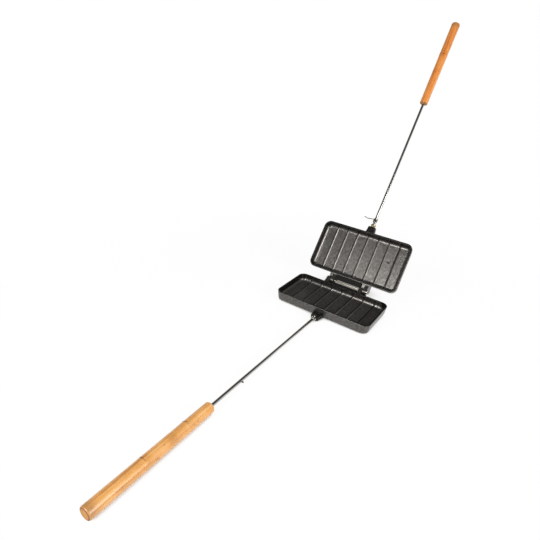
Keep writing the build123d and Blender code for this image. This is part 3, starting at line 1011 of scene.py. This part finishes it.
@dataclass
class CaneHandle:
    """One cane handle and the raised line round each of its nodes."""

    half: Half
    frames: Frames
    cane: LacqueredCane
    ring_radius: float = 0.34
    ring_sunk_share: float = 0.45
    ring_unevenness: float = 0.16

    def build(self, nodes: dict[str, Piece]) -> None:
        """Dress the cane and model its nodes.

        Args:
            nodes: the frame's nodes by name.
        """
        place = self.frames.rod(self.half)
        cane = self.cane.make(f"lacquered cane, {self.half.value}", place)
        dress(nodes[f"{self.half.value}_handle"], cane)
        for number, node_place in enumerate(self.frames.sizes.node_places, start=1):
            dress(self.make_node_line(number, node_place, place), cane)

    def make_node_line(self, number: int, node_place: float, place: Matrix) -> Piece:
        """Model the uneven raised line where a leaf sheath left the cane.

        Args:
            number: the node's number from the front of the handle.
            node_place: its distance from the front of the handle.
            place: the rod's frame.

        Returns:
            The raised line.
        """
        sizes = self.frames.sizes
        widening = sizes.handle_butt_radius - sizes.handle_front_radius
        cane_radius = sizes.handle_front_radius + widening * node_place / sizes.handle_length
        radius = cane_radius + sizes.node_rise - self.ring_radius * self.ring_sunk_share
        deselect_all()
        bpy.ops.mesh.primitive_torus_add(
            major_segments=72,
            minor_segments=10,
            major_radius=radius * MM,
            minor_radius=self.ring_radius * MM,
            location=(0, 0, (sizes.rod_reach + node_place) * MM),
        )
        line = bpy.context.object
        bpy.ops.object.transform_apply(location=True, rotation=True, scale=True)
        bpy.ops.object.mode_set(mode="EDIT")
        bpy.ops.mesh.select_all(action="SELECT")
        bpy.ops.transform.vertex_random(
            offset=self.ring_unevenness * MM, uniform=0.3, normal=0.5, seed=number
        )
        bpy.ops.mesh.vertices_smooth(factor=0.5, repeat=2)
        bpy.ops.object.mode_set(mode="OBJECT")
        bpy.ops.object.shade_smooth()
        name = f"{self.half.value}_handle_node_line_{number}"
        return settle(line, name, place, self.half.body)


@dataclass
class Hinge:
    """The hinge pin with its washer and split pin."""

    frames: Frames
    pin_steel: CoatedSteel = CoatedSteel(Coat.OILED, blotch=14.0, roughness=0.42)

    def build(self, nodes: dict[str, Piece]) -> None:
        """Dress the hinge's three pieces.

        Args:
            nodes: the frame's nodes by name.
        """
        place = self.frames.half(Half.LOWER)
        dress(nodes["hinge_pin"], self.pin_steel.make("oiled steel pin", place))
        zinc = CoatedSteel(Coat.ZINC).make("zinc plated steel, hinge", place)
        for name in ("hinge_washer", "hinge_split_pin"):
            dress(nodes[name], zinc)


@dataclass
class Latch:
    """The wire latch, the washer it turns on, and the cross pin that stops it on the lower rod."""

    frames: Frames
    pin_roughness: float = 0.5

    def build(self, nodes: dict[str, Piece]) -> None:
        """Dress the latch's pieces.

        Args:
            nodes: the frame's nodes by name.
        """
        upper = self.frames.rod(Half.UPPER)
        lower = self.frames.rod(Half.LOWER)
        wire = CoatedSteel(Coat.BRIGHT_WIRE)
        washer = CoatedSteel(Coat.YELLOW_ZINC)
        pin = CoatedSteel(Coat.BROWN_OXIDE, roughness=self.pin_roughness)
        dress(nodes["latch_hook"], wire.make("bright drawn wire", upper))
        dress(nodes["latch_washer"], washer.make("yellow zinc washer", upper))
        dress(nodes["rod_stop_pin"], pin.make("browned steel pin", lower))


# -------- studio


@dataclass(frozen=True)
class Softbox:
    """One large soft lamp that points at the object."""

    name: str
    place: Triple
    size: Pair
    watts: float
    aim: Triple = (0.0, 80.0, 60.0)

    def build(self) -> None:
        """Hang the lamp."""
        lamp = bpy.data.lights.new(self.name, "AREA")
        lamp.shape = "RECTANGLE"
        lamp.size, lamp.size_y = self.size[0] * MM, self.size[1] * MM
        lamp.energy = self.watts
        holder = bpy.data.objects.new(self.name, lamp)
        holder.visible_camera = False
        bpy.context.scene.collection.objects.link(holder)
        holder.location = Vector(self.place) * MM
        towards = Vector(self.aim) * MM - holder.location
        holder.rotation_euler = towards.to_track_quat("-Z", "Y").to_euler()


@dataclass(frozen=True)
class Studio:
    """Pale floor, white surroundings, soft lamps, and the camera at the photograph's angle."""

    lamps: tuple[Softbox, ...] = (
        Softbox("front softbox", (-250.0, -1700.0, 830.0), (600.0, 1250.0), 26.0),
        Softbox("right softbox", (1700.0, -300.0, 750.0), (700.0, 700.0), 26.0),
    )
    focal_px: float = 441.44
    sensor_width: float = 36.0
    view_end: float = 50000.0
    camera_place: Triple = (317.08, -802.14, 503.73)
    camera_turn: Triple = (63.060, -5.282, 33.772)  # degrees
    paper: str = "#f2f1ef"
    floor_size: float = 9000.0
    floor_gap: float = 0.4
    shadow_reach: float = 700.0
    near_glow: float = 0.93  # how far the paper near the object is white to the camera by itself
    cover_reach: float = 120.0
    cover_spread: Pair = (0.25, 0.5)  # share of open sky from dark paper to white paper
    cover_samples: int = 16
    ambient: float = 0.5
    room: float = 0.09  # what gloss sees of the room, where the white backdrop ends
    backdrop_turn: Pair = (-0.1, 0.5)
    backdrop_top: Pair = (0.15, 0.4)

    def build(self) -> None:
        """Set up the floor, the surroundings, the lamps and the camera."""
        self.make_floor()
        self.make_world()
        for lamp in self.lamps:
            lamp.build()
        self.make_camera()
        bpy.context.scene.view_settings.view_transform = "Standard"

    def make_floor(self) -> None:
        """Lay a pale floor that the camera sees as white, with the object's soft shadow on it."""
        deselect_all()
        bpy.ops.mesh.primitive_plane_add(
            size=self.floor_size * MM, location=(0, 0, -self.floor_gap * MM)
        )
        floor = bpy.context.object
        floor.name = "floor"
        bpy.ops.object.transform_apply(location=True, rotation=True, scale=True)
        material, tree = new_material("pale paper")
        paper = add_node(tree, "BsdfDiffuse", {"Color": linear(self.paper)})
        glow = add_node(tree, "Emission", {"Color": WHITE, "Strength": 1.0})
        where = add_node(tree, "TexCoord").outputs["Object"]
        away = add_node(tree, "VectorMath", {0: where}, operation="LENGTH").outputs["Value"]
        zone = {"Value": away, **between((self.shadow_reach / 2, self.shadow_reach), MM)}
        zone["To Min"] = self.near_glow
        paper_white = add_node(tree, "MapRange", zone).outputs["Result"]
        # where the object all but covers the paper, its own shadow shows
        reach = {"Distance": self.cover_reach * MM}
        open_sky = add_node(tree, "AmbientOcclusion", reach, samples=self.cover_samples)
        zone = {"Value": open_sky.outputs["AO"], **between(self.cover_spread)}
        zone["To Max"] = paper_white
        white_here = add_node(tree, "MapRange", zone).outputs["Result"]
        rays = add_node(tree, "LightPath").outputs
        share = rays["Is Camera Ray"]
        for operation, other in (
            ("MAXIMUM", rays["Is Glossy Ray"]),
            ("MAXIMUM", rays["Is Transmission Ray"]),
            ("MULTIPLY", white_here),
        ):
            share = add_node(tree, "Math", {0: share, 1: other}, operation=operation).outputs[0]
        mix = {0: share, 1: paper.outputs["BSDF"], 2: glow.outputs["Emission"]}
        surface = add_node(tree, "MixShader", mix).outputs["Shader"]
        add_node(tree, "OutputMaterial", {"Surface": surface})
        dress(floor, material)

    def make_world(self) -> None:
        """Surround the object with white for the camera and for gloss, and with soft light."""
        world = bpy.data.worlds.new("white studio")
        bpy.context.scene.world = world
        world.use_nodes = True
        tree = world.node_tree
        tree.nodes.clear()
        where = add_node(tree, "TexCoord").outputs["Generated"]
        towards = add_node(tree, "SeparateXYZ", {"Vector": where}).outputs
        zone = {"Value": towards["Y"], **between(self.backdrop_turn)}
        behind = add_node(tree, "MapRange", zone).outputs["Result"]
        zone = {"Value": towards["Z"], **between(self.backdrop_top), "To Min": 1.0, "To Max": 0.0}
        below_top = add_node(tree, "MapRange", zone).outputs["Result"]
        both = {0: behind, 1: below_top}
        backdrop = add_node(tree, "Math", both, operation="MULTIPLY").outputs[0]
        white = {"Value": backdrop, "To Min": self.room, "To Max": 1.0}
        in_gloss = add_node(tree, "MapRange", white).outputs["Result"]
        rays = add_node(tree, "LightPath").outputs
        both = {0: rays["Is Glossy Ray"], 1: rays["Is Transmission Ray"]}
        seen = add_node(tree, "Math", both, operation="MAXIMUM").outputs[0]
        light = {"Value": seen, "To Min": self.ambient, "To Max": in_gloss}
        soft = add_node(tree, "MapRange", light).outputs["Result"]
        both = {0: soft, 1: rays["Is Camera Ray"]}
        strength = add_node(tree, "Math", both, operation="MAXIMUM").outputs[0]
        sky = add_node(tree, "Background", {"Color": WHITE, "Strength": strength})
        add_node(tree, "OutputWorld", {"Surface": sky.outputs["Background"]})

    def make_camera(self) -> None:
        """Stand the camera where the photograph was taken from."""
        lens = bpy.data.cameras.new("camera")
        lens.sensor_width = self.sensor_width
        lens.lens = self.sensor_width * self.focal_px / IMAGE_WIDTH_PX
        lens.clip_end = self.view_end * MM
        camera = bpy.data.objects.new("camera", lens)
        bpy.context.scene.collection.objects.link(camera)
        camera.location = Vector(self.camera_place) * MM
        camera.rotation_euler = Euler([math.radians(angle) for angle in self.camera_turn])
        bpy.context.scene.camera = camera


def main() -> None:
    """Load the frame, dress every piece in order, and light the object."""
    logging.basicConfig(level=logging.INFO, format="%(name)s %(message)s")
    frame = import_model()
    nodes = frame["nodes"]
    sizes = Sizes()
    frames = Frames.from_joints(frame["joints"], sizes)
    upper_cane = LacqueredCane(
        sizes,
        pale="#d58f4a",
        honey="#c87a36",
        fibre="#a65a24",
        scar_side=(0.1, 1.0),
        first_scar=1,
        second_scar=6.5,
    )

    Studio().build()
    Tray(Half.LOWER, frames, SeasonedCastIron(sizes)).build(nodes)
    Tray(Half.UPPER, frames, SeasonedCastIron(sizes, dimple=(-66.5, -85.0))).build(nodes)
    Rod(Half.LOWER, frames, DrawnSteel(), Coat.ZINC).build(nodes)
    Rod(Half.UPPER, frames, DrawnSteel(), Coat.YELLOW_ZINC).build(nodes)
    CaneHandle(Half.LOWER, frames, LacqueredCane(sizes)).build(nodes)
    CaneHandle(Half.UPPER, frames, upper_cane).build(nodes)
    Hinge(frames).build(nodes)
    Latch(frames).build(nodes)


if __name__ == "__main__":
    main()
